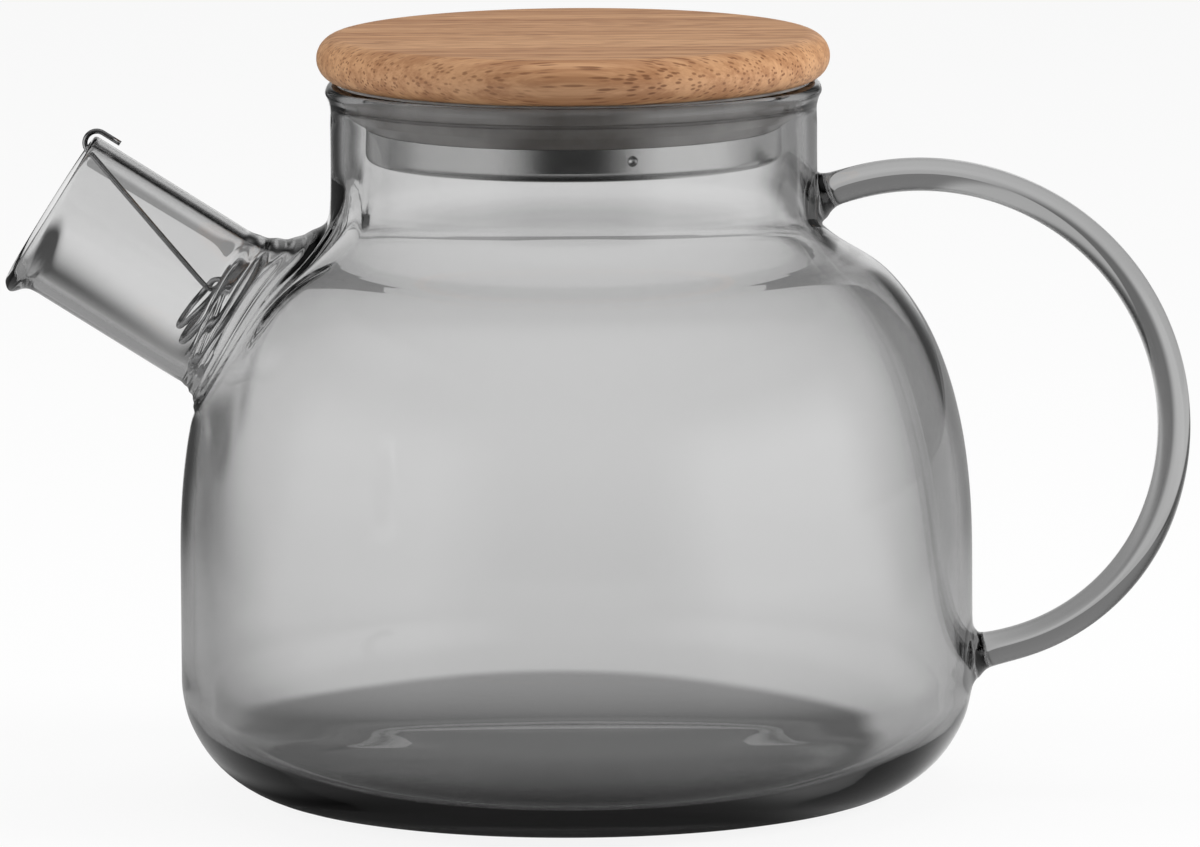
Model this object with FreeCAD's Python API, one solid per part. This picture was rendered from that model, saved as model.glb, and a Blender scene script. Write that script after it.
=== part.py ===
"""Glass teapot with a bamboo lid and a wire spout filter.

The pot stands on its flat base at the origin, Z up, spout towards -X, handle towards +X.
All lengths are millimetres and all angles degrees.
"""
import FreeCAD
import Part
import math
import os

os.makedirs("parts", exist_ok=True)
Vec = FreeCAD.Vector

# Vessel: a blown round body with a flat base and a full shoulder, and a straight neck
body_radius = 66.9
wall = 2.2
base_radius = 47.0
base_thickness = 3.0
heel_height = 20.0
shoulder_start = 40.0
shoulder_peak = 94.4
shoulder_inset = 5.0
shoulder_fullness = 2.3
neck_radius = 41.0
neck_fillet = 8.0
rim_height = 120.75
rim_bulge = 0.8
rim_flare = 3.0
neck_seam = 2.0

# Spout: a straight tube set on the shoulder, with a turned-down lip at its mouth
spout_radius = 13.85
spout_wall = 1.8
spout_angle = 32.5
spout_overhang = 21.1
spout_mouth_height = 100.35
spout_blend = 6.0
spout_hole_blend = 1.5
spout_seam_gap = 7.7
spout_lip = 2.4
spout_lip_length = 4.4
spout_edge_round = 0.6

# Handle: a solid oval glass loop welded to the neck and to the side of the body
handle_thick = 5.6
handle_width = 8.6
handle_root_height = 101.25
handle_rise = 18.5
handle_top_radius = 43.0
handle_top_sweep = 128.5
handle_low_radius = 35.8
handle_low_sweep = 57.7
handle_foot = 3.6
handle_weld = 1.7

# Lid: a turned bamboo disc with a stepped plug under it
lid_overhang = 2.2
lid_thickness = 7.7
lid_gap = 0.3
plug_play = 0.1

# Pressed steel cup over the end of the plug, staked with dimples
cup_margin = 3.8
cup_sheet = 0.5
cup_drop = 13.35
cup_height = 5.5
cup_corner = 1.6
dimple_radius = 0.9
dimple_depth = 0.55
dimple_height = 3.5
dimple_count = 3
dimple_first_angle = -74.0

# Silicone ring in the groove of the plug, with two ribs towards the neck
seal_width = 6.0
seal_clearance = 0.25
seal_play = 0.08
seal_top_rib = 2.9
seal_slot_height = 0.6
seal_slot_depth = 0.9
seal_low_rib = 2.2
seal_low_step = 0.6
seal_low_taper = 1.2
seal_edge_round = 0.25

# Filter: one bent wire, a hook over the mouth, a stem and a widening coil
wire = 0.9
hook_radius = 2.0
hook_gap = 0.6
hook_leg = 3.4
stem_lean = 17.4
stem_length = 30.0
stem_bend = 1.5
stem_turn = 79.0
stem_tail = 0.9
coil_small_radius = 5.3
coil_clearance = 0.3
coil_turns = 4.5
coil_pitch = 1.7
coil_depth = 29.2
coil_tilt = 0.16
coil_start_angle = 60.0


def at(radius, height):
    return Vec(radius, 0, height)


def line(a, b):
    return Part.makeLine(a, b)


def arc(centre, radius, start, end):
    """Arc in the XZ plane from one angle to another, through the middle angle."""
    pts = []
    for turn in (start, (start + end) / 2.0, end):
        t = math.radians(turn)
        pts.append(centre + Vec(radius * math.cos(t), 0, radius * math.sin(t)))
    return Part.Arc(pts[0], pts[1], pts[2]).toShape()


def spline(points, first, last):
    curve = Part.BSplineCurve()
    curve.interpolate(Points=points, InitialTangent=first, FinalTangent=last)
    return curve.toShape()


def revolve(edges):
    """Turn a closed half outline in the XZ plane into a solid about Z."""
    face = Part.Face(Part.Wire(edges))
    return face.revolve(Vec(0, 0, 0), Vec(0, 0, 1), 360)


def turned(points):
    """Solid of revolution from the corners of its half outline."""
    return revolve(Part.makePolygon(points + [points[0]]).Edges)


def write(name, shape):
    shape = shape.removeSplitter()
    if len(shape.Solids) == 1:
        shape = shape.Solids[0]
    print(name, shape.isValid(), len(shape.Solids), round(shape.Volume, 2))
    shape.exportStep("parts/" + name + ".step")


# Outline of the vessel, the same formula for the outside and for the inside of the glass
def shoulder_point(inset, t):
    across = body_radius - inset - (neck_radius - shoulder_inset)
    up = shoulder_peak - inset - shoulder_start
    power = 2.0 / shoulder_fullness
    radius = neck_radius - shoulder_inset + across * math.cos(t) ** power
    height = shoulder_start + up * math.sin(t) ** power
    return radius, height


def shoulder_normal(inset, t):
    step = 1e-5
    r0, z0 = shoulder_point(inset, t - step)
    r1, z1 = shoulder_point(inset, t + step)
    size = math.hypot(r1 - r0, z1 - z0)
    return (z1 - z0) / size, (r0 - r1) / size


def neck_blend(inset):
    """Where a concave arc touches both the shoulder and the neck."""
    reach = neck_fillet + inset
    low = 0.2
    high = math.pi / 2 - 1e-3
    for _ in range(60):
        t = (low + high) / 2.0
        radius, height = shoulder_point(inset, t)
        nr, nz = shoulder_normal(inset, t)
        if radius + reach * nr > neck_radius - inset + reach:
            low = t
        else:
            high = t
    return t, at(neck_radius - inset + reach, height + reach * nz), reach


def side_outline(inset, foot, floor):
    """Edges from the flat of the floor up to the foot of the neck, and that end."""
    across = body_radius - inset - foot
    up = heel_height - floor
    points = []
    for turn in (-90, -70, -50, -30, -15, 0):
        t = math.radians(turn)
        points.append(at(foot + across * math.cos(t), heel_height + up * math.sin(t)))
    edges = [spline(points, Vec(1, 0, 0), Vec(0, 0, 1))]
    heel_top = points[-1]
    t_end, centre, reach = neck_blend(inset)
    points = [at(body_radius - inset, shoulder_start)]
    for share in (0.16, 0.32, 0.48, 0.64, 0.8, 0.92, 1.0):
        radius, height = shoulder_point(inset, t_end * share)
        points.append(at(radius, height))
    edges.append(line(heel_top, points[0]))
    nr, nz = shoulder_normal(inset, t_end)
    start = math.degrees(math.atan2(-nz, -nr))
    for share in (0.35, 0.7, 1.0):
        t = math.radians(start + (-180.0 - start) * share)
        points.append(centre + Vec(reach * math.cos(t), 0, reach * math.sin(t)))
    edges.append(spline(points, Vec(0, 0, 1), Vec(0, 0, 1)))
    return edges, points[-1]


# Outer skin of the vessel as a filled solid, closed above by the rounded rim
bead = (wall + rim_bulge) / 2.0
bead_centre = at(neck_radius - wall + bead, rim_height - bead)
flare_rise = math.sqrt((rim_flare + bead) ** 2 - (rim_flare + bead - rim_bulge) ** 2)
flare_centre = at(neck_radius + rim_flare, bead_centre.z - flare_rise)
flare_turn = math.degrees(math.atan2(flare_rise, rim_flare + bead - rim_bulge))
outer_edges, neck_foot = side_outline(0.0, base_radius, 0.0)
outer_edges.insert(0, line(at(0, 0), at(base_radius, 0)))
outer_edges.append(line(neck_foot, at(neck_radius, flare_centre.z)))
outer_edges.append(arc(flare_centre, rim_flare, 180.0, 180.0 - flare_turn))
outer_edges.append(arc(bead_centre, bead, -flare_turn, 90.0))
outer_edges.append(line(at(bead_centre.x, rim_height), at(0, rim_height)))
outer_edges.append(line(at(0, rim_height), at(0, 0)))
outer_skin = revolve(outer_edges)

# Inside of the vessel, open at the rim
mouth_radius = neck_radius - wall
inner_foot = base_radius - wall
inner_edges, inner_neck_foot = side_outline(wall, inner_foot, base_thickness)
inner_edges.insert(0, line(at(0, base_thickness), at(inner_foot, base_thickness)))
inner_edges.append(line(inner_neck_foot, at(mouth_radius, bead_centre.z)))
inner_edges.append(arc(bead_centre, bead, 180.0, 90.0))
above_rim = rim_height + wall
inner_edges.append(line(at(bead_centre.x, rim_height), at(bead_centre.x, above_rim)))
inner_edges.append(line(at(bead_centre.x, above_rim), at(0, above_rim)))
inner_edges.append(line(at(0, above_rim), at(0, base_thickness)))
inner_space = revolve(inner_edges)

# Spout frame: depth runs inwards from the mouth, up is square to the tube
lean = math.radians(spout_angle)
spout_out = Vec(-math.cos(lean), 0, math.sin(lean))
spout_up = Vec(math.sin(lean), 0, math.cos(lean))
spout_reach = body_radius + spout_overhang
mouth = Vec(-spout_reach, 0, spout_mouth_height)
bore_radius = spout_radius - spout_wall


def in_spout(depth, up, side=0.0):
    return mouth - spout_out * depth + spout_up * up + Vec(0, side, 0)


def tube(radius, first, last):
    return Part.makeCylinder(radius, last - first, in_spout(first, 0), spout_out * -1)


def rim_of_tube(shape, radius, shallow):
    """Edges of a shape that lie on a tube about the spout axis, beyond a given depth."""
    found = []
    for edge in shape.Edges:
        keep = edge.Length > wire
        span = edge.LastParameter - edge.FirstParameter
        for k in range(9):
            off = edge.valueAt(edge.FirstParameter + span * k / 8.0) - mouth
            along = off.dot(spout_out)
            side = (off - spout_out * along).Length
            keep = keep and abs(side - radius) < 0.01 and -along > shallow
        if keep:
            found.append(edge)
    return found


def is_along_tube(edge):
    """True for the straight seam of a tube."""
    ends = edge.valueAt(edge.LastParameter) - edge.valueAt(edge.FirstParameter)
    return ends.Length > 0.99 * edge.Length and abs(ends.dot(spout_out)) > 0.99 * ends.Length


def skin_radius(height):
    """Radius of the outside of the body at a height on its side or its shoulder."""
    share = (height - shoulder_start) / (shoulder_peak - shoulder_start)
    t = math.asin(min(1.0, max(0.0, share)) ** (shoulder_fullness / 2.0))
    return shoulder_point(0.0, t)[0]


# The seam of the spout lies a little outside the place where its underside meets the body
root_depth = (spout_reach - neck_radius + shoulder_inset) / math.cos(lean)
low = 0.0
high = root_depth
for _ in range(60):
    depth = (low + high) / 2.0
    under = in_spout(depth, -spout_radius)
    if -under.x > skin_radius(under.z):
        low = depth
    else:
        high = depth
spout_seam_depth = depth - spout_seam_gap
print("spout seam depth", round(spout_seam_depth, 3))

# The root of the spout goes through the wall, blended outside and rounded inside
hull = outer_skin.fuse(tube(spout_radius, spout_seam_depth, root_depth))
hull_rim = [e for e in rim_of_tube(hull, spout_radius, spout_seam_depth + 0.5) if not is_along_tube(e)]
hull = hull.makeFillet(spout_blend, hull_rim)
space = inner_space.fuse(tube(bore_radius, spout_seam_depth, root_depth))
space_rim = [e for e in rim_of_tube(space, bore_radius, spout_seam_depth + 0.5) if not is_along_tube(e)]
space = space.makeFillet(spout_hole_blend, space_rim)
vessel = hull.cut(space)

# The neck is welded on a little way up its blend into the shoulder
weld_height = neck_foot.z - neck_seam
above_weld = Part.makeCylinder(body_radius, rim_height, at(0, weld_height))
glass_neck = vessel.common(above_weld)
glass_body = vessel.cut(above_weld)
write("glass_body", glass_body)
write("glass_neck", glass_neck)


# Spout beyond the seam: a straight tube, then the lip widens downwards to the mouth
def lip_loft(radius, spreads):
    rings = []
    for share, spread in spreads:
        grown = spout_lip * spread / 2.0
        centre = in_spout(spout_lip_length * share, -grown)
        circle = Part.Circle(centre, spout_out, radius + grown)
        rings.append(Part.Wire(circle.toShape()))
    return Part.makeLoft(rings, True, False)


lip_outside = ((1.0, 0.0), (0.75, 0.6), (0.5, 1.0), (0.25, 0.9), (0.0, 0.5))
lip_inside = ((1.0, 0.0), (0.6, 0.12), (0.25, 0.42), (0.0, 0.6))
outer_tube = tube(spout_radius, spout_lip_length, spout_seam_depth)
outer_tube = outer_tube.fuse(lip_loft(spout_radius, lip_outside))
inner_tube = tube(bore_radius, spout_lip_length, spout_seam_depth)
inner_tube = inner_tube.fuse(lip_loft(bore_radius, lip_inside))
glass_spout = outer_tube.cut(inner_tube)
mouth_edges = []
for edge in glass_spout.Edges:
    depth = (mouth - edge.CenterOfMass).dot(spout_out)
    if abs(depth) < 0.01 and edge.Length > bore_radius:
        mouth_edges.append(edge)
glass_spout = glass_spout.makeFillet(spout_edge_round, mouth_edges)
write("glass_spout", glass_spout)


# Handle: an oval section carried round two arcs between two flared feet
def direction(heading):
    return Vec(math.cos(heading), 0, math.sin(heading))


def oval(place, heading, grown):
    across = Vec(-math.sin(heading), 0, math.cos(heading)) * (handle_thick / 2.0 + grown)
    wide = Vec(0, handle_width / 2.0 + grown, 0)
    return Part.Wire(Part.Ellipse(place + wide, place + across, place).toShape())


def foot(place, heading, outwards):
    """Weld: the section grows towards the glass and runs on into the wall."""
    rings = []
    for share, spread in ((1.0, 0.0), (0.62, 0.1), (0.34, 0.36), (0.12, 0.8), (-0.1, 1.1), (-0.5, 1.1)):
        spot = place + direction(heading) * (outwards * handle_foot * share)
        rings.append(oval(spot, heading, handle_weld * spread))
    return Part.makeLoft(rings, True, False)


heading = math.radians(handle_rise)
top_root = Vec(neck_radius, 0, handle_root_height)
top_foot = foot(top_root, heading, 1.0)
place = top_root + direction(heading) * handle_foot
handle_edges = []
rod_start = place
rod_heading = heading
for radius, sweep in ((handle_top_radius, handle_top_sweep), (handle_low_radius, handle_low_sweep)):
    centre = place + Vec(math.sin(heading), 0, -math.cos(heading)) * radius
    pts = []
    for share in (0.0, 0.5, 1.0):
        t = heading - math.radians(sweep) * share
        pts.append(centre + Vec(-math.sin(t), 0, math.cos(t)) * radius)
    handle_edges.append(Part.Arc(pts[0], pts[1], pts[2]).toShape())
    heading -= math.radians(sweep)
    place = pts[2]
run = (body_radius - place.x) / math.cos(heading)
low_root = place + direction(heading) * run
if run > handle_foot + 0.1:
    handle_edges.append(line(place, low_root - direction(heading) * handle_foot))
rod = Part.Wire(handle_edges).makePipeShell([oval(rod_start, rod_heading, 0.0)], True, False)
low_foot = foot(low_root, heading, -1.0)
glass_handle = rod.fuse([top_foot, low_foot]).cut(outer_skin)
write("glass_handle", glass_handle)

# Lid: bamboo disc with a full round edge; the plug has a groove and a flange under it
underside = rim_height + lid_gap
lid_radius = neck_radius + lid_overhang
lid_round = lid_thickness / 2.0
seal_radius = mouth_radius - seal_clearance
seal_bore = seal_radius - seal_width
groove_radius = seal_bore - seal_play
cup_radius = mouth_radius - cup_margin
cup_bottom = underside - cup_drop
cup_top = cup_bottom + cup_height
flange_radius = cup_radius - cup_sheet - plug_play
plug_end = cup_bottom + cup_sheet + plug_play
lid_edges = [
    line(at(0, plug_end), at(flange_radius - cup_corner, plug_end)),
    line(at(flange_radius - cup_corner, plug_end), at(flange_radius, plug_end + cup_corner)),
    line(at(flange_radius, plug_end + cup_corner), at(flange_radius, cup_top)),
    line(at(flange_radius, cup_top), at(groove_radius, cup_top)),
    line(at(groove_radius, cup_top), at(groove_radius, underside)),
    line(at(groove_radius, underside), at(lid_radius - lid_round, underside)),
    arc(at(lid_radius - lid_round, underside + lid_round), lid_round, -90.0, 90.0),
    line(at(lid_radius - lid_round, underside + lid_thickness), at(0, underside + lid_thickness)),
    line(at(0, underside + lid_thickness), at(0, plug_end)),
]
bamboo_lid = revolve(lid_edges)

# Cup: thin pressed sheet with a rounded corner and punched dimples that bite into the plug
corner_out = at(cup_radius - cup_corner, cup_bottom + cup_corner)
cup_edges = [
    line(at(0, cup_bottom), at(corner_out.x, cup_bottom)),
    arc(corner_out, cup_corner, -90.0, 0.0),
    line(at(cup_radius, corner_out.z), at(cup_radius, cup_top)),
    line(at(cup_radius, cup_top), at(cup_radius - cup_sheet, cup_top)),
    line(at(cup_radius - cup_sheet, cup_top), at(cup_radius - cup_sheet, corner_out.z)),
    arc(corner_out, cup_corner - cup_sheet, 0.0, -90.0),
    line(at(corner_out.x, cup_bottom + cup_sheet), at(0, cup_bottom + cup_sheet)),
    line(at(0, cup_bottom + cup_sheet), at(0, cup_bottom)),
]
lid_cup = revolve(cup_edges)
punch = (dimple_radius ** 2 + dimple_depth ** 2) / (2.0 * dimple_depth)
punch_place = cup_radius - dimple_depth + punch
inside_cup = Part.makeCylinder(cup_radius - cup_sheet / 2.0, cup_height, at(0, cup_bottom))
for k in range(dimple_count):
    turn = math.radians(dimple_first_angle + 360.0 * k / dimple_count)
    spot = Vec(math.cos(turn), math.sin(turn), 0) * punch_place
    spot.z = cup_bottom + dimple_height
    bump = Part.makeSphere(punch + cup_sheet, spot).common(inside_cup)
    lid_cup = lid_cup.fuse(bump).cut(Part.makeSphere(punch, spot))
    bamboo_lid = bamboo_lid.cut(Part.makeSphere(punch + cup_sheet + plug_play, spot))
write("bamboo_lid", bamboo_lid)
write("lid_cup", lid_cup)

# Seal: upper rib, slot, lower rib and a taper down to the edge of the cup
seal_top = underside - seal_play
seal_low = cup_top + seal_play
slot_top = seal_top - seal_top_rib
slot_low = slot_top - seal_slot_height
low_rib = slot_low - seal_low_rib
low_radius = seal_radius - seal_low_step
lid_seal = turned([
    at(seal_bore, seal_low),
    at(cup_radius, seal_low),
    at(low_radius - seal_low_taper, low_rib),
    at(low_radius, slot_low),
    at(seal_radius - seal_slot_depth - seal_low_step, slot_low),
    at(seal_radius - seal_slot_depth - seal_low_step, slot_top),
    at(seal_radius, slot_top),
    at(seal_radius, seal_top),
    at(seal_bore, seal_top),
])
rib_edges = []
for edge in lid_seal.Edges:
    box = edge.BoundBox
    if box.ZLength < 0.001 and box.XMax > low_radius - seal_low_taper - 0.001:
        rib_edges.append(edge)
lid_seal = lid_seal.makeFillet(seal_edge_round, rib_edges)
write("lid_seal", lid_seal)


# Filter wire: straight lines and arcs joined smoothly from the hook to the end of the coil
def bend(start, start_way, end, end_way):
    """Two arcs that leave one point and reach another in the given directions."""
    gap = end - start
    ways = start_way + end_way
    inner = gap.dot(ways)
    spread = 2.0 * (1.0 - start_way.dot(end_way))
    reach = (-inner + math.sqrt(inner * inner + spread * gap.dot(gap))) / spread
    corner_a = start + start_way * reach
    corner_b = end - end_way * reach
    middle = (corner_a + corner_b) * 0.5
    arcs = []
    for a, corner, b in ((start, corner_a, middle), (middle, corner_b, end)):
        half = (a + b) * 0.5
        rise = corner - half
        chord = (b - a).Length / 2.0
        swell = chord * math.tan(math.atan2(rise.Length, chord) / 2.0)
        arcs.append(Part.Arc(a, half + rise * (swell / rise.Length), b).toShape())
    return arcs


coil_large_radius = bore_radius - coil_clearance - wire / 2.0


def coil_point(turn):
    """Point on the coil after a number of turns: it widens quickly, then settles to the bore."""
    share = turn / coil_turns
    t = math.radians(coil_start_angle) + 2.0 * math.pi * turn
    radius = coil_small_radius + (coil_large_radius - coil_small_radius) * math.sin(math.pi / 2 * share)
    up = radius * math.cos(t)
    depth = coil_depth + coil_pitch * turn + coil_tilt * (1.0 - share) * up
    return in_spout(depth, up, radius * math.sin(t))


def coil_way(turn):
    step = 1e-4
    return (coil_point(turn + step) - coil_point(turn - step)).normalize()


def in_plane(heading):
    """Direction in the middle plane of the spout, turned up from straight in."""
    t = math.radians(heading)
    return in_spout(math.cos(t), math.sin(t)) - in_spout(0, 0)


hook_centre_depth = hook_radius - wire / 2.0 - hook_gap
hook_centre_up = spout_radius - spout_wall / 2.0
hook_points = []
for share in (0.0, 0.5, 1.0):
    t = math.radians(180.0 - stem_lean) * share
    depth = hook_centre_depth - hook_radius * math.sin(t)
    hook_points.append(in_spout(depth, hook_centre_up + hook_radius * math.cos(t)))
tip = in_spout(hook_centre_depth + hook_leg, hook_centre_up + hook_radius)
stem_way = in_plane(-stem_lean)
stem_end = hook_points[2] + stem_way * stem_length
bend_centre = stem_end + in_plane(90.0 - stem_lean) * stem_bend
bend_points = []
for share in (0.0, 0.5, 1.0):
    bend_points.append(bend_centre - in_plane(90.0 - stem_lean + stem_turn * share) * stem_bend)
tail_way = in_plane(stem_turn - stem_lean)
tail_end = bend_points[2] + tail_way * stem_tail
wire_edges = [
    line(tip, hook_points[0]),
    Part.Arc(hook_points[0], hook_points[1], hook_points[2]).toShape(),
    line(hook_points[2], stem_end),
    Part.Arc(bend_points[0], bend_points[1], bend_points[2]).toShape(),
    line(bend_points[2], tail_end),
]
wire_edges += bend(tail_end, tail_way, coil_point(0.0), coil_way(0.0))
steps = int(round(coil_turns * 4))
for k in range(steps):
    a = coil_turns * k / steps
    b = coil_turns * (k + 1) / steps
    wire_edges += bend(coil_point(a), coil_way(a), coil_point(b), coil_way(b))
coil_end = coil_point(coil_turns)
wire_edges.append(line(coil_end, coil_end + coil_way(coil_turns) * wire))
wire_path = Part.Wire(wire_edges)
section = Part.Wire(Part.Circle(tip, hook_points[0] - tip, wire / 2.0).toShape())
spout_filter = wire_path.makePipeShell([section], True, False)

# Least gap of the wire to itself, on points along its middle line
dots = []
for edge in wire_edges:
    count = max(2, int(edge.Length / 0.25))
    for k in range(count):
        share = edge.FirstParameter + (edge.LastParameter - edge.FirstParameter) * k / count
        dots.append((edge.valueAt(share), edge.Length / count))
runs = [0.0]
for dot, length in dots:
    runs.append(runs[-1] + length)
least = 1e9
for i in range(len(dots)):
    for j in range(i + 1, len(dots)):
        if runs[j] - runs[i] > 4.0 * wire:
            least = min(least, (dots[i][0] - dots[j][0]).Length - wire)
curves = [e.Curve.Radius for e in wire_edges if hasattr(e.Curve, "Radius")]
print("wire gap to itself", round(least, 3), "tightest bend", round(min(curves), 3))
write("spout_filter", spout_filter)
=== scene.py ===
import bmesh
import bpy
import math
from mathutils import Matrix, Vector


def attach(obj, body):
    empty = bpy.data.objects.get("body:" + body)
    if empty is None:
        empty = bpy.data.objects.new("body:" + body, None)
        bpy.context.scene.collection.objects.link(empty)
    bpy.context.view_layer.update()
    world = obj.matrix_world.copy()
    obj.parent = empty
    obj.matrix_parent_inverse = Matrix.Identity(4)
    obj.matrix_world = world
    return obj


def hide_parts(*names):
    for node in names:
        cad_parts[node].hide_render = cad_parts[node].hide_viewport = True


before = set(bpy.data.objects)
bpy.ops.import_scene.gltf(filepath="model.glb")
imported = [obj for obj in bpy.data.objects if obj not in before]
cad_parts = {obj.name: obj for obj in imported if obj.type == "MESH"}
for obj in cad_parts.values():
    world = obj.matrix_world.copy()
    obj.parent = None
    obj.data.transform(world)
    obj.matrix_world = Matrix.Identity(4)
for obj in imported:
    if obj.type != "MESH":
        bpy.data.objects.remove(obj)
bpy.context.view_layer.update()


# Camera: a long lens a little above the pot, square on to its side, with the spout on the left.
# Its place was worked out from the outline of the pot in the photograph.
view_place = Vector((0.00315, -2.2, 0.37294))
view_turn = -0.000443
view_pitch = math.radians(81.9687)
view_roll = -0.00646
view_data = bpy.data.cameras.new("view")
view_data.sensor_width = 36.0
view_data.sensor_fit = "HORIZONTAL"
view_data.lens = 394.9
view_data.clip_end = 60.0
view = bpy.data.objects.new("view", view_data)
bpy.context.collection.objects.link(view)
view.matrix_world = (
    Matrix.Translation(view_place)
    @ Matrix.Rotation(view_turn, 4, "Z")
    @ Matrix.Rotation(view_pitch, 4, "X")
    @ Matrix.Rotation(view_roll, 4, "Z")
)
bpy.context.scene.camera = view


# Glass vessel: a blown smoke-grey body with a straight neck and a fire-polished rim.
# The spout tube and the solid loop handle are melted on with a flame, so it is all one skin.
# It is turned as a cage of rings, the spout and handle grow out of holes in it, and it is smoothed.
mm = 0.001
body_radius = 66.9
wall = 2.2
base_radius = 47.0
base_thickness = 3.0
heel_height = 20.0
shoulder_start = 40.0
shoulder_peak = 94.4
shoulder_inset = 5.0
shoulder_power = 2.0 / 2.3
neck_radius = 41.0
neck_fillet = 8.0
rim_height = 120.75
columns = 64


def shoulder(inset, t):
    """Radius and height on the full curve of the shoulder."""
    across = body_radius - inset - (neck_radius - shoulder_inset)
    up = shoulder_peak - inset - shoulder_start
    r = neck_radius - shoulder_inset + across * math.cos(t) ** shoulder_power
    return r, shoulder_start + up * math.sin(t) ** shoulder_power


def side_line(inset, foot, floor):
    """Close points up the side of the glass, from the flat of the base to the rim."""
    line = []
    for k in range(60):
        t = math.radians(-90.0 + 90.0 * k / 60)
        r = foot + (body_radius - inset - foot) * math.cos(t)
        line.append((r, heel_height + (heel_height - floor) * math.sin(t)))
    line.append((body_radius - inset, heel_height))
    reach = neck_fillet + inset
    low, high = 0.2, math.pi / 2 - 0.001
    for k in range(60):
        t = (low + high) / 2
        r, z = shoulder(inset, t)
        before, after = shoulder(inset, t - 1e-5), shoulder(inset, t + 1e-5)
        size = math.dist(before, after)
        nr, nz = (after[1] - before[1]) / size, (before[0] - after[0]) / size
        if r + reach * nr > neck_radius - inset + reach:
            low = t
        else:
            high = t
    end = t
    line += [shoulder(inset, end * k / 150) for k in range(151)]
    centre = (neck_radius - inset + reach, z + reach * nz)
    start = math.atan2(-nz, -nr)
    for k in range(1, 31):
        t = start + (-math.pi - start) * k / 30
        line.append((centre[0] + reach * math.cos(t), centre[1] + reach * math.sin(t)))
    line.append((neck_radius - inset, rim_height))
    return line


def radius_at(line, z):
    """Radius of the glass at a height."""
    for (r0, z0), (r1, z1) in zip(line, line[1:]):
        if z0 <= z <= z1:
            return r0 + (r1 - r0) * (z - z0) / max(z1 - z0, 1e-9)
    return line[-1][0]


def even_rows(line, low, high, count):
    """Points at even steps along the side between two heights, both ends included."""
    part = [p for p in line if low < p[1] < high]
    part = [(radius_at(line, low), low)] + part + [(radius_at(line, high), high)]
    run = [0.0]
    for a, b in zip(part, part[1:]):
        run.append(run[-1] + math.dist(a, b))
    rows = []
    for k in range(count + 1):
        want = run[-1] * k / count
        i = max(j for j in range(len(part) - 1) if run[j] <= want + 1e-9)
        share = (want - run[i]) / (run[i + 1] - run[i])
        a, b = part[i], part[i + 1]
        rows.append((a[0] + (b[0] - a[0]) * share, a[1] + (b[1] - a[1]) * share))
    return rows


def through(points, shrink):
    """Cage points whose smooth curve passes through the points, on rings that draw in by shrink."""
    goal = [Vector((r / shrink, z)) for r, z in points]
    cage = [p.copy() for p in goal]
    for k in range(40):
        for i in range(1, len(goal) - 1):
            cage[i] += goal[i] - (cage[i - 1] + 4 * cage[i] + cage[i + 1]) / 6
    return cage


def smoothed(count):
    """How much a smoothed ring with this many corners draws in."""
    return (4 + 2 * math.cos(2 * math.pi / count)) / 6


def in_edit():
    """The mesh that is being shaped."""
    return bmesh.from_edit_mesh(bpy.context.edit_object.data)


def loop_in_order(mesh):
    """Vertices of the selected loop, one after the other."""
    ways = {}
    for edge in mesh.edges:
        if edge.select:
            a, b = edge.verts
            ways.setdefault(a, []).append(b)
            ways.setdefault(b, []).append(a)
    first = next(iter(ways))
    order = [first, ways[first][0]]
    while len(order) < len(ways):
        a, b = ways[order[-1]]
        order.append(b if a is order[-2] else a)
    return order


def extrude_to(places):
    """Extrude the selected loop and set its new vertices on places in mm, the nearest way round."""
    bpy.ops.mesh.extrude_region_move()
    mesh = in_edit()
    order = loop_in_order(mesh)
    goal = [Vector(p) * mm for p in places]
    count = len(goal)
    best = None
    for turn in (1, -1):
        for shift in range(count):
            off = 0.0
            for i in range(0, count, 2):
                off += (order[i].co - goal[(shift + turn * i) % count]).length_squared
            if best is None or off < best[0]:
                best = (off, turn, shift)
    for i, vert in enumerate(order):
        vert.co = goal[(best[2] + best[1] * i) % count]
    bmesh.update_edit_mesh(bpy.context.edit_object.data)


def ring(r, z):
    """Corners of a level ring, in mm."""
    turns = [2 * math.pi * k / columns for k in range(columns)]
    return [(r * math.cos(t), r * math.sin(t), z) for t in turns]


left_open = []


def open_hole(inside):
    """Delete the faces whose middle in mm lies in a patch, and select the edge that this leaves."""
    bpy.ops.mesh.select_mode(type="FACE")
    bpy.ops.mesh.select_all(action="DESELECT")
    mesh = in_edit()
    for face in mesh.faces:
        face.select_set(inside(face.calc_center_median() / mm))
    bpy.ops.mesh.delete(type="FACE")
    bpy.ops.mesh.select_mode(type="EDGE")
    bpy.ops.mesh.select_all(action="DESELECT")
    mesh = in_edit()
    for edge in mesh.edges:
        middle = (edge.verts[0].co + edge.verts[1].co) / (2 * mm)
        if edge.is_boundary and not any((middle - other).length < 0.01 for other in left_open):
            edge.select_set(True)
    bmesh.update_edit_mesh(bpy.context.edit_object.data)


def leave_loop():
    """Note the loop that is open so far, so that the next hole is selected alone."""
    left_open.clear()
    for edge in in_edit().edges:
        if edge.is_boundary:
            left_open.append((edge.verts[0].co + edge.verts[1].co) / (2 * mm))


def bridge_open():
    """Join the two loops that are still open."""
    bpy.ops.mesh.select_all(action="DESELECT")
    mesh = in_edit()
    for edge in mesh.edges:
        edge.select_set(edge.is_boundary)
    bmesh.update_edit_mesh(bpy.context.edit_object.data)
    bpy.ops.mesh.bridge_edge_loops()


# Handle path: a foot square to the neck, two arcs and a foot on the side of the body
handle_width = 8.6
handle_thick = 5.6
handle_foot = 3.6
handle_weld = 1.7
handle_root_height = 101.25
ring_spacing = 3.8
handle_rise = math.radians(18.5)
handle_arcs = ((43.0, math.radians(128.5)), (35.8, math.radians(57.7)))
top_root = Vector((neck_radius, 0, handle_root_height))


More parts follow.
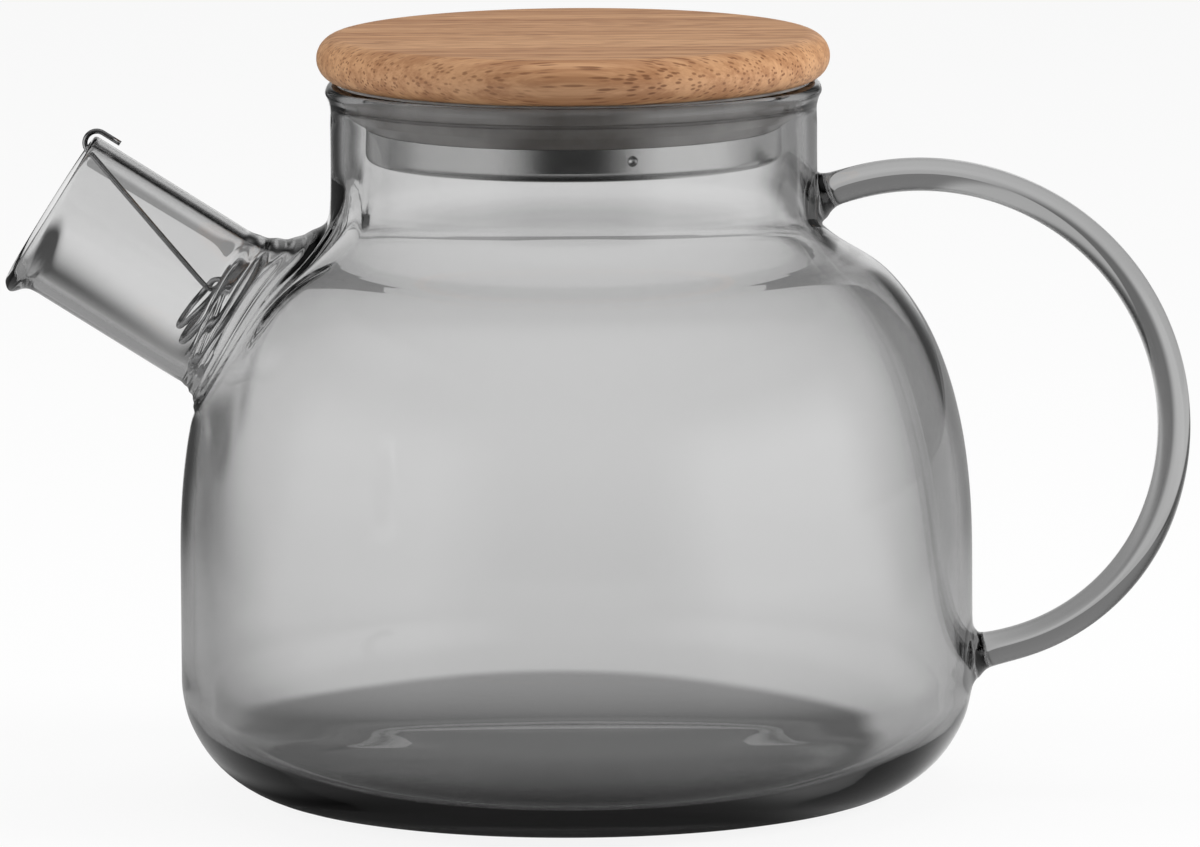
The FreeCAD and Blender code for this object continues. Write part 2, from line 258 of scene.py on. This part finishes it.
def heading(t):
    """Direction in the plane of the handle, turned up from straight out."""
    return Vector((math.cos(t), 0, math.sin(t)))


handle_path = []
place = top_root + heading(handle_rise) * handle_foot
way = handle_rise
for radius, sweep in handle_arcs:
    centre = place + Vector((math.sin(way), 0, -math.cos(way))) * radius
    steps = max(4, round(radius * sweep / ring_spacing))
    for k in range(steps):
        t = way - sweep * k / steps
        handle_path.append((centre + Vector((-math.sin(t), 0, math.cos(t))) * radius, t, 0.0))
    way -= sweep
    place = centre + Vector((-math.sin(way), 0, math.cos(way))) * radius
low_root = place + heading(way) * ((body_radius - place.x) / math.cos(way))
foot_rings = ((0.05, 0.92), (0.2, 0.62), (0.42, 0.27), (0.7, 0.06))
top_rings = []
low_rings = []
for share, swell in foot_rings:
    out = handle_foot * share
    top_rings.append((top_root + heading(handle_rise) * out, handle_rise, handle_weld * swell))
    low_rings.append((low_root - heading(way) * out, way, handle_weld * swell))
if (low_root - place).length > handle_foot * 0.85:
    handle_path.append((place, way, 0.0))
handle_path = top_rings + handle_path + low_rings[::-1]

# Outline of the glass as rings, up the outside, round the rim and down the inside
outside = side_line(0.0, base_radius, 0.0)
inside = side_line(wall, base_radius - wall, base_thickness)
heel_width = body_radius - base_radius
inner_radius = neck_radius - wall
rim_bulge = 0.8
rim_round = (wall + rim_bulge) / 2

# Rings that the glass is opened between, for the handle and for the spout; low_patch counts from low_root
low_patch = (-7.8, -4.8, -2.4, 0.0, 2.4, 4.8, 8.0)
neck_patch = (96.45, handle_root_height, 106.05)
outer_hole = (62.0, neck_patch[1])
inner_hole = (60.0, 102.0)
rows = [(r, 0.0) for r in (14.0, 28.0, 38.0, 44.0)]
for turn in (-90, -74, -57, -40, -24):
    t = math.radians(turn)
    rows.append((base_radius + heel_width * math.cos(t), heel_height + heel_height * math.sin(t)))
rows += [(radius_at(outside, low_root.z + k), low_root.z + k) for k in low_patch]
rows += [(radius_at(outside, z), z) for z in (37.0, 44.0, 50.5, 56.5)]
rows += even_rows(outside, outer_hole[0], neck_patch[0], 7)
rows.append((radius_at(outside, neck_patch[1]), neck_patch[1]))
rows += [(neck_radius, z) for z in (neck_patch[2], 110.5, 114.2, 116.6)]
rows.append((neck_radius + rim_bulge * 0.66, rim_height - 2.35))
for turn in (0, 45, 90, 135, 180):
    t = math.radians(turn)
    middle = neck_radius + rim_bulge - rim_round
    rows.append((middle + rim_round * math.cos(t), rim_height - rim_round + rim_round * math.sin(t)))
rows += [(inner_radius, z) for z in (117.0, 113.0, 108.0)]
rows += even_rows(inside, *inner_hole, 8)[::-1]
rows += [(radius_at(inside, z), z) for z in (53.0, 45.0, 37.0, 29.0, 22.0)]
for turn in (-15, -33, -51, -68, -82):
    t = math.radians(turn)
    depth = (heel_height - base_thickness) * math.sin(t)
    rows.append((base_radius - wall + heel_width * math.cos(t), heel_height + depth))
rows += [(r, base_thickness) for r in (42.0, 35.0, 26.0, 14.0)]
cage = through(rows, smoothed(columns))

bpy.ops.object.select_all(action="DESELECT")
bpy.ops.mesh.primitive_circle_add(vertices=columns, radius=rows[0][0] * mm, fill_type="NGON")
vessel = bpy.context.active_object
vessel.name = "glass_vessel"
bpy.ops.object.mode_set(mode="EDIT")
bpy.ops.mesh.select_mode(type="EDGE")
bpy.ops.mesh.select_all(action="SELECT")
bpy.ops.mesh.region_to_loop()
for r, z in cage[1:]:
    extrude_to(ring(r, z))
bpy.ops.mesh.edge_face_add()

# Spout frame: depth runs inwards from the mouth, up is square to the tube
spout_radius = 13.85
bore_radius = 12.05
spout_lean = math.radians(32.5)
spout_out = Vector((-math.cos(spout_lean), 0, math.sin(spout_lean)))
spout_up = Vector((math.sin(spout_lean), 0, math.cos(spout_lean)))
mouth = Vector((-88.0, 0, 100.35))
spout_sides = 32
around = [2 * math.pi * (k + 0.5) / spout_sides for k in range(spout_sides)]


def in_spout(depth, up, side=0.0):
    """Place in the spout's own frame, in mm."""
    return mouth - spout_out * depth + spout_up * up + Vector((0, side, 0))


def meets(line, radius, t):
    """Depth at which a line along the tube comes to the skin of the body."""
    low, high = 5.0, 56.0
    for k in range(40):
        depth = (low + high) / 2
        spot = in_spout(depth, radius * math.cos(t), radius * math.sin(t))
        if math.hypot(spot.x, spot.y) > radius_at(line, spot.z):
            low = depth
        else:
            high = depth
    return depth


def on_tube(radius, depth, t):
    """Place on a tube along the spout, with t turned from its upper side."""
    return in_spout(depth, radius * math.cos(t), radius * math.sin(t))


step = 2 * math.pi / columns


def spout_patch(low, high, outer):
    """Test for faces of the skin, outer or inner, in the patch where the spout grows."""
    def in_patch(middle):
        turn = abs(math.atan2(middle.y, -middle.x))
        on_outside = math.hypot(middle.x, middle.y) > radius_at(outside, middle.z) - wall / 2
        return low < middle.z < high and turn < 4 * step and on_outside == outer
    return in_patch


grow = 1 / smoothed(spout_sides)
lip_size = 2.4


def lip_ring(radius, depth, spread, trim=0.0):
    """Ring near the mouth: the lip turns down, so the lower side spreads and the upper stays."""
    places = []
    for t in around:
        lower = max(0.0, -math.cos(t)) ** 1.5
        places.append(on_tube((radius + lip_size * spread * lower + trim) * grow, depth, t))
    return places


def root_rings(skin, tube, run, lean, count, ridge=0.0):
    """Rings round the soft corner between the skin and the tube, wider above than below.

    Ridges are the marks that the glass keeps where it was drawn together.
    Returns the depths where the corner ends.
    """
    places = [[] for k in range(count + 1)]
    ends = []
    for t in around:
        w = run + lean * math.cos(t)
        depth = meets(skin, tube, t)
        edge = on_tube(tube + w, meets(skin, tube + w, t), t)
        outward = on_tube(1.0, 0.0, t) - mouth
        for k in range(count + 1):
            share = k / count
            full = tube * (1 + (grow - 1) * share)
            corner, end = on_tube(full, depth, t), on_tube(full, depth - w, t)
            spot = edge * (1 - share) ** 2 + corner * 2 * share * (1 - share) + end * share ** 2
            if 0 < k < count:
                swell = ridge * (-1) ** k * (0.65 + 0.35 * math.sin(2 * t + 1.3 * k))
                spot += (outward * share + spout_out * (1 - share)).normalized() * swell
            places[k].append(spot)
        ends.append(depth - w)
    for spots in places:
        extrude_to(spots)
    return ends


# Outside of the spout, from the weld to the lip
weld_run = 6.5
weld_lean = 2.5
weld_ridge = 0.34
straight_from = 19.0
open_hole(spout_patch(*outer_hole, True))
ends = root_rings(outside, spout_radius, weld_run, weld_lean, 10, weld_ridge)
for share in (0.6, 0.25):
    depths = [straight_from + (d - straight_from) * share for d in ends]
    extrude_to([on_tube(spout_radius * grow, d, t) for t, d in zip(around, depths)])
for depth in (18.0, 14.0, 10.0, 6.8):
    extrude_to([on_tube(spout_radius * grow, depth, t) for t in around])
for depth, spread in ((4.0, 0.0), (3.0, 0.5), (2.0, 0.98), (1.2, 0.92), (0.6, 0.72)):
    extrude_to(lip_ring(spout_radius, depth, spread))
extrude_to(lip_ring(spout_radius, 0.14, 0.56, -0.2))
extrude_to(lip_ring(spout_radius, 0.0, 0.55, -0.86))
leave_loop()

# Inside of the spout, which follows the outside so that the wall stays even
open_hole(spout_patch(*inner_hole, False))
inner_run = 6.0
inner_lean = 2.3
bore_from = 20.5
ends = root_rings(inside, bore_radius, inner_run, inner_lean, 4)
for share in (0.6, 0.2):
    depths = [bore_from + (d - bore_from) * share for d in ends]
    extrude_to([on_tube(bore_radius * grow, d, t) for t, d in zip(around, depths)])
for depth in (16.5, 11.5, 7.4):
    extrude_to([on_tube(bore_radius * grow, depth, t) for t in around])
for depth, spread in ((3.8, 0.0), (2.6, 0.2), (1.4, 0.5), (0.6, 0.55)):
    extrude_to(lip_ring(bore_radius, depth, spread))
extrude_to(lip_ring(bore_radius, 0.14, 0.57, 0.2))
bridge_open()


handle_sides = 12


def handle_ring(spot, way, grown):
    """Oval section square to the path; near the glass it lies on the skin."""
    places = []
    for k in range(handle_sides):
        t = 2 * math.pi * k / handle_sides
        side = (handle_width / 2 + grown) / smoothed(handle_sides) * math.cos(t)
        up = (handle_thick / 2 + grown) / smoothed(handle_sides) * math.sin(t)
        p = spot + Vector((-math.sin(way), 0, math.cos(way))) * up + Vector((0, side, 0))
        skin = radius_at(outside, p.z) + 0.05
        if math.hypot(p.x, p.y) < skin:
            p.x = math.sqrt(skin ** 2 - p.y ** 2)
        places.append(p)
    return places


def on_neck(middle):
    """Test for faces in the patch of the neck where the handle grows."""
    across = abs(middle.y) < neck_radius * math.sin(2 * step)
    return middle.x > neck_radius - wall / 2 and across and neck_patch[0] < middle.z < neck_patch[2]


def on_side(middle):
    """Test for faces in the patch of the side where the handle ends."""
    across = abs(middle.y) < body_radius * math.sin(step)
    outer = body_radius - wall / 2 < middle.x < body_radius + wall / 2
    return outer and across and abs(middle.z - low_root.z) < low_patch[-2]


# Handle, from its weld on the neck round to its weld on the side
open_hole(on_neck)
for spot, way, grown in handle_path:
    extrude_to(handle_ring(spot, way, grown))
leave_loop()
open_hole(on_side)
bridge_open()
bpy.ops.mesh.select_all(action="SELECT")
bpy.ops.mesh.normals_make_consistent(inside=False)
bpy.ops.object.mode_set(mode="OBJECT")
smooth = vessel.modifiers.new("smooth", "SUBSURF")
smooth.levels = 2
smooth.render_levels = 2
bpy.ops.object.modifier_apply(modifier=smooth.name)
bpy.ops.object.shade_smooth()
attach(vessel, "pot")
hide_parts("glass_body", "glass_neck", "glass_spout", "glass_handle")


class Sock:
    """A shader value that can be used in plain sums."""

    def __init__(self, tree, socket):
        self.tree, self.socket = tree, socket

    def node(self, kind, settings=None, out=0, **values):
        """Add a node, set its settings first, then its sockets by name or number."""
        made = self.tree.nodes.new("ShaderNode" + kind)
        for key, value in (settings or {}).items():
            if key == "stops":
                ramp = made.color_ramp
                while len(ramp.elements) < len(value):
                    ramp.elements.new(0.5)
                for stop, (place, colour) in zip(ramp.elements, value):
                    stop.position = place
                    stop.color = (*colour, 1)
            else:
                setattr(made, key, value)
        for key, value in values.items():
            name = int(key[1:]) if key[0] == "i" and key[1:].isdigit() else key.replace("_", " ")
            target = made.inputs[name]
            if isinstance(value, Sock):
                self.tree.links.new(value.socket, target)
            else:
                target.default_value = value
        return Sock(self.tree, made.outputs[out])

    def sum(self, operation, other, flipped=False):
        a, b = (other, self) if flipped else (self, other)
        return self.node("Math", {"operation": operation}, i0=a, i1=b)

    def __add__(self, other):
        return self.sum("ADD", other)

    def __radd__(self, other):
        return self.sum("ADD", other, True)

    def __sub__(self, other):
        return self.sum("SUBTRACT", other)

    def __rsub__(self, other):
        return self.sum("SUBTRACT", other, True)

    def __mul__(self, other):
        return self.sum("MULTIPLY", other)

    def __rmul__(self, other):
        return self.sum("MULTIPLY", other, True)

    def __truediv__(self, other):
        return self.sum("DIVIDE", other)

    def __rtruediv__(self, other):
        return self.sum("DIVIDE", other, True)

    def ease(self, low, high, first=0.0, last=1.0):
        """Runs smoothly from one value to another between two limits."""
        limits = {"From_Min": low, "From_Max": high, "To_Min": first, "To_Max": last}
        return self.node("MapRange", {"interpolation_type": "SMOOTHSTEP"}, Value=self, **limits)

    def part(self, axis):
        """One axis of a vector."""
        return self.node("SeparateXYZ", out=axis, Vector=self)

    def scaled(self, x, y, z):
        """The vector stretched along its axes."""
        return self.node("VectorMath", {"operation": "MULTIPLY"}, i0=self, i1=(x, y, z))

    def mixed(self, a, b):
        """Colour between a and b, with this value as the share of b."""
        return self.node("Mix", {"data_type": "RGBA"}, out=2, i0=self, i6=a, i7=b)


def new_finish(name, **settings):
    """A material with one Principled shader, its plain values set on the shader's own sockets."""
    finish = bpy.data.materials.new(name)
    finish.use_nodes = True
    tree = finish.node_tree
    shader = tree.nodes["Principled BSDF"]
    for key, value in settings.items():
        shader.inputs[key.replace("_", " ")].default_value = value
    coords = tree.nodes.new("ShaderNodeTexCoord")
    return finish, tree, shader, Sock(tree, coords.outputs["Object"])


def wear(piece, finish):
    """Give a piece its finish."""
    piece.data.materials.clear()
    piece.data.materials.append(finish)


clear = (1, 1, 1, 1)
glass, tree, shader, spot = new_finish("smoke_glass", Base_Color=clear, Transmission_Weight=1.0, IOR=1.47)
cloud = spot.node("TexNoise", Vector=spot, Scale=38.0, Detail=2.0)
tree.links.new((0.002 + 0.008 * cloud).socket, shader.inputs["Roughness"])
smoke = tree.nodes.new("ShaderNodeVolumeAbsorption")
smoke.inputs["Color"].default_value = (0.5, 0.5, 0.5, 1)
smoke.inputs["Density"].default_value = 205.0
tree.links.new(smoke.outputs[0], tree.nodes["Material Output"].inputs["Volume"])
wear(vessel, glass)


# Spout filter: one length of bright steel wire. A hook hangs over the mouth of the spout, a
# straight stem runs in, and a widening coil of four and a half turns holds back the leaves.
# It is drawn as a line along the wire and given the wire's thickness.
wire_thick = 0.9
stem_lean = math.radians(17.4)
hook_radius = 2.0
hook_gap = 0.6
hook_leg = 3.4
hook_depth = hook_radius - wire_thick / 2 - hook_gap
hook_up = (spout_radius + bore_radius) / 2
stem_length = 30.0
stem_bend = 1.5
stem_turn = math.radians(79.0)
tail_length = 0.9
coil_turns = 4.5
coil_depth = 29.2
coil_pitch = 1.7
coil_tilt = 0.16
coil_first = math.radians(60.0)
coil_small = 5.3
coil_clearance = 0.3
coil_large = bore_radius - coil_clearance - wire_thick / 2


def coil_point(turn):
    """Place on the coil after so many turns."""
    share = turn / coil_turns
    t = coil_first + 2 * math.pi * turn
    r = coil_small + (coil_large - coil_small) * math.sin(math.pi / 2 * share)
    up = r * math.cos(t)
    return in_spout(coil_depth + coil_pitch * turn + coil_tilt * (1 - share) * up, up, r * math.sin(t))


def in_plane(t):
    """Direction in the middle plane of the spout, turned up from straight in."""
    return in_spout(math.cos(t), math.sin(t)) - in_spout(0, 0)


wire_line = [in_spout(hook_depth + d, hook_up + hook_radius) for d in (hook_leg, hook_leg / 2)]
for k in range(17):
    t = (math.pi - stem_lean) * k / 16
    wire_line.append(in_spout(hook_depth - hook_radius * math.sin(t), hook_up + hook_radius * math.cos(t)))
stem_start = wire_line[-1]
stem_end = stem_start + in_plane(-stem_lean) * stem_length
wire_line += [stem_start + (stem_end - stem_start) * k / 8 for k in range(1, 8)]
bend_centre = stem_end + in_plane(math.pi / 2 - stem_lean) * stem_bend
for k in range(11):
    wire_line.append(bend_centre - in_plane(math.pi / 2 - stem_lean + stem_turn * k / 10) * stem_bend)
tail_way = in_plane(stem_turn - stem_lean)
tail = wire_line[-1] + tail_way * tail_length
wire_line.append(tail)
coil_start = coil_point(0.0)
coil_way = (coil_point(0.001) - coil_start).normalized()
reach = (coil_start - tail).length
for k in range(1, 12):
    t = k / 12
    wire_line.append(
        tail * (2 * t ** 3 - 3 * t ** 2 + 1) + tail_way * reach * (t ** 3 - 2 * t ** 2 + t)
        + coil_start * (3 * t ** 2 - 2 * t ** 3) + coil_way * reach * (t ** 3 - t ** 2)
    )
turns = round(coil_turns * 48)
wire_line += [coil_point(coil_turns * k / turns) for k in range(turns + 1)]
curve = bpy.data.curves.new("spout_wire", "CURVE")
curve.dimensions = "3D"
curve.bevel_depth = wire_thick / 2 * mm
curve.bevel_resolution = 4
curve.use_fill_caps = True
thread = curve.splines.new("POLY")
thread.points.add(len(wire_line) - 1)
for point, p in zip(thread.points, wire_line):
    point.co = (*(p * mm), 1)
strainer = bpy.data.objects.new("spout_wire", curve)
bpy.context.collection.objects.link(strainer)
bpy.ops.object.select_all(action="DESELECT")
strainer.select_set(True)
bpy.context.view_layer.objects.active = strainer
bpy.ops.object.convert(target="MESH")
strainer = bpy.context.active_object
bpy.ops.object.mode_set(mode="EDIT")
bpy.ops.mesh.select_all(action="SELECT")
bpy.ops.mesh.remove_doubles(threshold=0.000001)
bpy.ops.mesh.normals_make_consistent(inside=False)
bpy.ops.object.mode_set(mode="OBJECT")
bpy.ops.object.shade_smooth()
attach(strainer, "filter")
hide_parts("spout_filter")

bright, tree, shader, spot = new_finish("bright_wire", Metallic=1.0)
drawn = spot.node("TexNoise", Vector=spot, Scale=900.0, Detail=2.0)
tree.links.new(drawn.mixed((0.42, 0.42, 0.43, 1), (0.6, 0.6, 0.6, 1)).socket, shader.inputs["Base Color"])
tree.links.new((0.16 + 0.14 * drawn).socket, shader.inputs["Roughness"])
wear(strainer, bright)


# Bamboo lid: strips of bamboo glued side by side, turned to a disc with a round edge, sanded and oiled.
# The dark bundles of the cane run along the strips, so they are dashes in front and dots at the ends.
# The plug under it is turned in one with the disc and carries the cup and the seal.
bamboo, tree, shader, spot = new_finish("bamboo")
y = spot.part(1)
warp = spot.node("TexNoise", Vector=spot.scaled(22, 60, 60), Scale=1.0, Detail=1.0)
strip = spot.node("Math", {"operation": "FLOOR"}, i0=y * 165 + 0.35 + warp * 0.12)
shade = spot.node("TexWhiteNoise", {"noise_dimensions": "1D"}, W=strip)
fibre = spot.node("TexNoise", Vector=spot.scaled(26, 2400, 1900), Scale=1.0, Detail=3.0, Roughness=0.6)
streak = spot.node("TexNoise", Vector=spot.scaled(9, 380, 300), Scale=1.0, Detail=4.0, Roughness=0.7)
bundle = spot.node("TexVoronoi", Vector=spot.scaled(120, 1500, 1350), Scale=1.0, Randomness=0.95)
dots = bundle.ease(0.2, 0.4, 1.0, 0.0) * warp.ease(0.36, 0.62, 0.6, 1.0)
tone = streak.ease(0.4, 0.6) * 0.5 + shade * 0.3 + fibre.ease(0.3, 0.7) * 0.2
colour = tone.mixed((0.60, 0.34, 0.175, 1), (0.33, 0.15, 0.066, 1))
colour = (dots * 0.85).mixed(colour, (0.19, 0.075, 0.03, 1))
tree.links.new(colour.socket, shader.inputs["Base Color"])
tree.links.new((0.4 + 0.2 * fibre).socket, shader.inputs["Roughness"])
grain = spot.node("Bump", Strength=0.25, Distance=0.0002, Height=fibre * 0.5 - dots * 0.5)
tree.links.new(grain.socket, shader.inputs["Normal"])
wear(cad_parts["bamboo_lid"], bamboo)


# Lid cup: thin pressed steel over the end of the plug, held by three punched dimples.
# It was polished while it turned, so the fine marks run round it.
steel, tree, shader, spot = new_finish("satin_steel", Metallic=1.0)
flat = spot.scaled(1, 1, 0)
from_axis = spot.node("VectorMath", {"operation": "LENGTH"}, out="Value", i0=flat)
turned = spot.node("CombineXYZ", X=from_axis * 2600, Y=0.0, Z=spot.part(2) * 5200)
marks = spot.node("TexNoise", Vector=turned, Scale=1.0, Detail=2.0)
smear = spot.node("TexNoise", Vector=spot, Scale=120.0, Detail=2.0)
tree.links.new(marks.mixed((0.58, 0.58, 0.58, 1), (0.64, 0.64, 0.63, 1)).socket, shader.inputs["Base Color"])
tree.links.new((0.14 + 0.07 * marks + 0.05 * smear).socket, shader.inputs["Roughness"])
brushed = spot.node("Bump", Strength=0.04, Distance=0.00003, Height=marks)
tree.links.new(brushed.socket, shader.inputs["Normal"])
wear(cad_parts["lid_cup"], steel)


# Lid seal: a ring of milky silicone with two ribs that grip the neck.
# It is moulded in one piece and stretched into the groove of the plug, with a satin skin from the mould.
satin = {"Coat_Weight": 1.0, "Coat_IOR": 2.3, "Coat_Roughness": 0.22}
silicone, tree, shader, spot = new_finish("milky_silicone", **satin)
bloom = spot.node("TexNoise", Vector=spot, Scale=170.0, Detail=3.0)
milk = bloom.ease(0.3, 0.7).mixed((0.33, 0.305, 0.285, 1), (0.43, 0.40, 0.375, 1))
tree.links.new(milk.socket, shader.inputs["Base Color"])
tree.links.new((0.38 + 0.2 * bloom).socket, shader.inputs["Roughness"])
wear(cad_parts["lid_seal"], silicone)


# Studio: a white sweep that the camera sees as white. Glass and metal see it white behind the pot
# with a dark wall on either side, pale all round, and with a painted shadow under the pot, where no light
# gets in.
bpy.ops.object.select_all(action="DESELECT")
bpy.ops.mesh.primitive_plane_add(size=8.0, location=(0, 0, -0.0003))
floor = bpy.context.active_object
floor.name = "floor"


def rays(tree):
    """Rays from the camera, rays last mirrored by a surface, and rays last let through glass."""
    ray = tree.nodes.new("ShaderNodeLightPath")
    camera = Sock(tree, ray.outputs["Is Camera Ray"])
    plain = Sock(tree, ray.outputs["Diffuse Depth"]).ease(0.0, 1.0, 1.0, 0.0)
    passed = Sock(tree, ray.outputs["Is Transmission Ray"]) * plain
    return camera, Sock(tree, ray.outputs["Is Glossy Ray"]) * plain * (1 - passed), passed


def cards(across, ahead):
    """White cards to the left and right of the camera, with a dark gap between them."""
    return ahead.ease(-0.95, -0.7) * ahead.ease(-0.1, 0.25, 1.0, 0.0) * (1.0 + 0.35 * across)


def walls(across, ahead):
    """Pale walls all round, with a dark one on either side of the white sweep."""
    return ahead.ease(0.78, 0.92, 0.55, 0.0) + cards(across, ahead) * 0.45


paper = bpy.data.materials.new("paper")
paper.use_nodes = True
tree = paper.node_tree
tree.nodes.clear()
camera, mirrored, passed = rays(tree)
spot = Sock(tree, tree.nodes.new("ShaderNodeTexCoord").outputs["Object"])
x, y = spot.part(0), spot.part(1)
away = spot.node("VectorMath", {"operation": "LENGTH"}, out="Value", i0=spot)

# The white sweep widens behind the pot, more to the left than to the right, and its edges are soft
left_edge = 0.034 + 0.125 * y
right_edge = 0.053 + 0.05 * y
left_side = (-1 * x / left_edge).ease(1.0, 1.7, 1.0, 0.0)
right_side = (x / right_edge).ease(1.0, 1.7, 1.0, 0.3)
depth = y.ease(-0.02, 0.02) * y.ease(0.1, 0.47, 0.8, 1.02) * y.ease(0.64, 0.9, 1.0, 0.9)
back = left_side * right_side * depth

# Close to the pot the paper is a little lit, and far in front of it there is a dark gap
toward = y / away
near = away.ease(0.2, 0.4, 0.35, 0.0) * toward.ease(-0.7, 0.2, 0.3, 1.0)
gap = 1 - away.ease(0.5, 0.62) * toward.ease(-0.985, -0.86, 1.0, 0.0)

# Painted shadow: a dark oval on the paper under the pot, seen only in glass and metal, a little lighter
# towards the back
oval_half = (0.059, 0.088)
oval_middle = (-0.005, 0.02)
to_oval = (1 / oval_half[0], 1 / oval_half[1], 0)
shift = (-oval_middle[0] / oval_half[0], -oval_middle[1] / oval_half[1], 0)
oval = spot.node("VectorMath", {"operation": "MULTIPLY_ADD"}, i0=spot, i1=to_oval, i2=shift)
from_oval = spot.node("VectorMath", {"operation": "LENGTH"}, out="Value", i0=oval)
painted_shadow = from_oval.ease(0.94, 1.04, 1.0, 0.0)
under_light = y.ease(-0.035, 0.12, 0.03, 0.5)

sweep = 0.08 * toward.ease(-0.97, -0.7, 0.15, 1.0) + 0.92 * back + near * (1 - back)
seen = sweep + cards(x / away, toward) * away.ease(0.15, 0.4)
looked_through = sweep + walls(x / away, toward) * gap * (1 - back) * away.ease(0.15, 0.4)
open_floor = mirrored * seen + passed * looked_through
# Glass and metal see the painted shadow under the pot in place of the open floor
strength = camera + open_floor * (1 - painted_shadow) + (mirrored + passed) * painted_shadow * under_light

# The camera sees plain white with a trace of the paper, which holds the shadow of the pot
camera_white = 0.88
dull = camera.node("BsdfDiffuse", Color=(0.85, 0.85, 0.85, 1))
white = camera.node("Emission", Color=(1, 1, 1, 1), Strength=strength)
mix = camera.node("MixShader", Fac=camera_white * camera + mirrored + passed, i1=dull, i2=white)
end = tree.nodes.new("ShaderNodeOutputMaterial")
tree.links.new(mix.socket, end.inputs["Surface"])
wear(floor, paper)

# Room above the sweep, with one more white card far behind the pot on the right
world = bpy.data.worlds.new("room")
bpy.context.scene.world = world
world.use_nodes = True
tree = world.node_tree
tree.nodes.clear()
camera, mirrored, passed = rays(tree)
way = Sock(tree, tree.nodes.new("ShaderNodeTexCoord").outputs["Generated"])
level = way.node("VectorMath", {"operation": "LENGTH"}, out="Value", i0=way.scaled(1, 1, 0))
across, ahead, height = way.part(0) / level, way.part(1) / level, way.part(2)
far_card = ahead.ease(0.5, 0.8) * across.ease(0.045, 0.09) * across.ease(0.18, 0.28, 1.0, 0.0)
low_light = 0.08 + 0.35 * ahead.ease(0.93, 0.99) + 0.5 * far_card
dark_gap = ahead.ease(-0.985, -0.86)
sides = mirrored * cards(across, ahead) + passed * walls(across, ahead) * dark_gap
glass_rays = mirrored + passed
low_light = (low_light * glass_rays + sides) * height.ease(0.2, 0.55, 1.0, 0.0)
room_light = low_light + 0.3 * glass_rays * height.ease(0.5, 0.9)
strength = camera + (1 - camera - mirrored - passed) * 0.4 + room_light
room = camera.node("Background", Color=(1, 1, 1, 1), Strength=strength)
end = tree.nodes.new("ShaderNodeOutputWorld")
tree.links.new(room.socket, end.inputs["Surface"])

# Soft lamps: name, place, size and power. Glass and metal show the cards and not the lamps.
lamps = (
    ("left_lamp", (-1.15, -0.15, 0.6), 0.6, 7.0),
    ("right_lamp", (1.15, -0.2, 0.6), 0.6, 13.0),
    ("top_lamp", (0, 0.1, 1.2), 0.7, 3.6),
)
lamp_aim = Vector((0, 0, 0.07))
for name, place, size, power in lamps:
    lamp_data = bpy.data.lights.new(name, "AREA")
    lamp_data.size = size
    lamp_data.energy = power
    lamp = bpy.data.objects.new(name, lamp_data)
    bpy.context.collection.objects.link(lamp)
    lamp.location = place
    lamp.rotation_euler = (lamp_aim - Vector(place)).to_track_quat("-Z", "Y").to_euler()
    lamp.visible_glossy = False
    lamp.visible_transmission = False

bpy.context.scene.view_settings.view_transform = "Standard"
